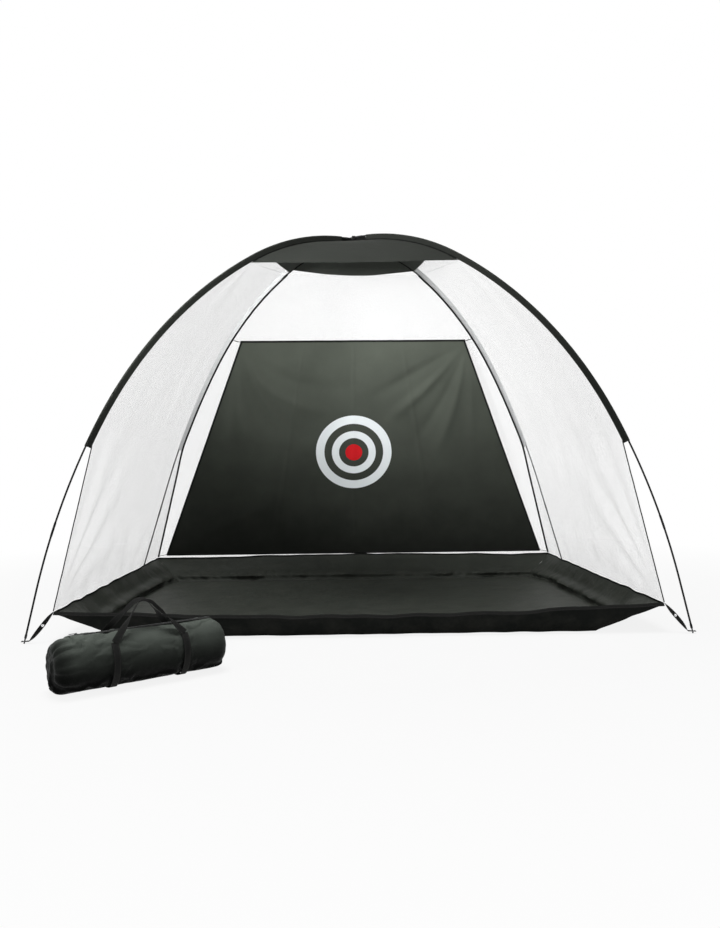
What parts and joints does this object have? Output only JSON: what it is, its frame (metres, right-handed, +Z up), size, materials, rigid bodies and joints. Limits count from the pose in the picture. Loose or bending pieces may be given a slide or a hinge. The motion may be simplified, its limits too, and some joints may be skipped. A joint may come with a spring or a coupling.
{
  "type": "golf chipping net",
  "caption": "Pop-up golf chipping net: crossed jointed poles in fabric sleeves, net cage, tray floor, leaning bullseye target cloth, zipped carry bag.",
  "frame": {"origin": "on the ground, plumb under the crossing of the two poles", "axes": "+X to the player's right along the width, +Y to the rear away from the open mouth, +Z up"},
  "size_m": [3.0264, 2.8987, 2.0993],
  "materials": {
    "glass_fibre": "satin pultruded glass-fibre tube",
    "tip_metal": "satin",
    "eyelet_metal": "pressed and plated",
    "elastic": "braided cord",
    "black_cloth": "coated plain weave",
    "white_cloth": "plain weave",
    "tray_cloth": "heavy coated weave",
    "white_net": "fine see-through mesh",
    "black_webbing": "ribbed webbing and tape",
    "target_cloth": "woven cloth with off-white printed rings and a red centre",
    "barrel_plastic": "moulded",
    "bag_cloth": "satin coated weave",
    "zip_tape": "woven tape",
    "zip_teeth": "coil teeth",
    "zip_metal": "lacquered die cast"
  },
  "bodies": {
    "frame": {"pole_front_left_foot": "glass_fibre", "pole_front_left_lower": "glass_fibre", "pole_front_left_sleeved": "glass_fibre", "pole_front_right_foot": "glass_fibre", "pole_front_right_lower": "glass_fibre", "pole_front_right_sleeved": "glass_fibre", "pole_rear_left_foot": "glass_fibre", "pole_rear_left_lower": "glass_fibre", "pole_rear_left_sleeved": "glass_fibre", "pole_rear_right_foot": "glass_fibre", "pole_rear_right_lower": "glass_fibre", "pole_rear_right_sleeved": "glass_fibre", "pole_ferrules": "tip_metal", "pole_shock_cords": "elastic", "pole_tips": "tip_metal", "sleeve_front_left": "black_cloth", "sleeve_front_right": "black_cloth", "sleeve_rear_left": "white_cloth", "sleeve_rear_right": "white_cloth", "corner_strap_front_left": "black_webbing", "corner_strap_front_right": "black_webbing", "corner_strap_rear_left": "black_webbing", "corner_strap_rear_right": "black_webbing", "strap_eyelets": "eyelet_metal", "tray_floor": "tray_cloth", "tray_wall_front": "tray_cloth", "tray_wall_rear": "tray_cloth", "tray_wall_left": "tray_cloth", "tray_wall_right": "tray_cloth", "tray_rim_binding": "black_webbing", "net_left": "white_net", "net_right": "white_net", "net_rear": "white_net", "crown_visor": "black_cloth", "crown_left": "black_cloth", "crown_right": "black_cloth", "crown_back": "black_cloth", "crown_patch": "black_cloth", "rear_seam_bindings": "black_webbing", "front_edge_bindings": "black_webbing", "crossing_strap": "black_webbing", "target_lower_ties": "elastic"},
    "target": {"target_cloth": "target_cloth", "target_binding": "black_webbing", "target_upper_ties": "elastic"},
    "barrel_left": {"tie_barrel_left": "barrel_plastic"},
    "barrel_right": {"tie_barrel_right": "barrel_plastic"},
    "bag": {"bag_body": "bag_cloth", "bag_end_left": "bag_cloth", "bag_end_right": "bag_cloth", "bag_bands": "black_webbing", "zip_tape": "zip_tape", "zip_teeth": "zip_teeth"},
    "slider": {"zip_slider": "zip_metal"},
    "pull": {"zip_pull": "zip_metal"},
    "handle_front": {"bag_handle_front": "black_webbing"},
    "handle_rear": {"bag_handle_rear": "black_webbing"}
  },
  "joints": [
    {"name": "target_swing", "type": "hinge", "parent": "frame", "child": "target", "pos_m": [0, 0.5139, 1.5852], "axis": [1, 0, 0], "range_deg": [0, 0.5], "deforming": ["target_lower_ties"]},
    {"name": "barrel_left_slide", "type": "slide", "parent": "target", "child": "barrel_left", "axis": [-0.9167, 0.2931, 0.2716], "range_m": [-0.015, 0.015]},
    {"name": "barrel_right_slide", "type": "slide", "parent": "target", "child": "barrel_right", "axis": [0.9175, 0.2724, 0.2898], "range_m": [-0.015, 0.015]},
    {"name": "bag_lift", "type": "slide", "parent": "frame", "child": "bag", "axis": [0, 0, 1], "range_m": [0, 0.5]},
    {"name": "zip_slide", "type": "slide", "parent": "bag", "child": "slider", "axis": [0.8059, 0.592, 0], "range_m": [0, 0.49]},
    {"name": "pull_flip", "type": "hinge", "parent": "slider", "child": "pull", "pos_m": [-1.00794, -1.77673, 0.2046], "axis": [-0.592, 0.8059, 0], "range_deg": [0, 170]},
    {"name": "handle_front_fold", "type": "hinge", "parent": "bag", "child": "handle_front", "pos_m": [-0.77145, -1.69429, 0.16945], "axis": [0.8059, 0.592, 0], "range_deg": [0, 148]},
    {"name": "handle_rear_fold", "type": "hinge", "parent": "bag", "child": "handle_rear", "pos_m": [-0.85855, -1.57571, 0.16945], "axis": [-0.8059, -0.592, 0], "range_deg": [0, 148]}
  ]
}
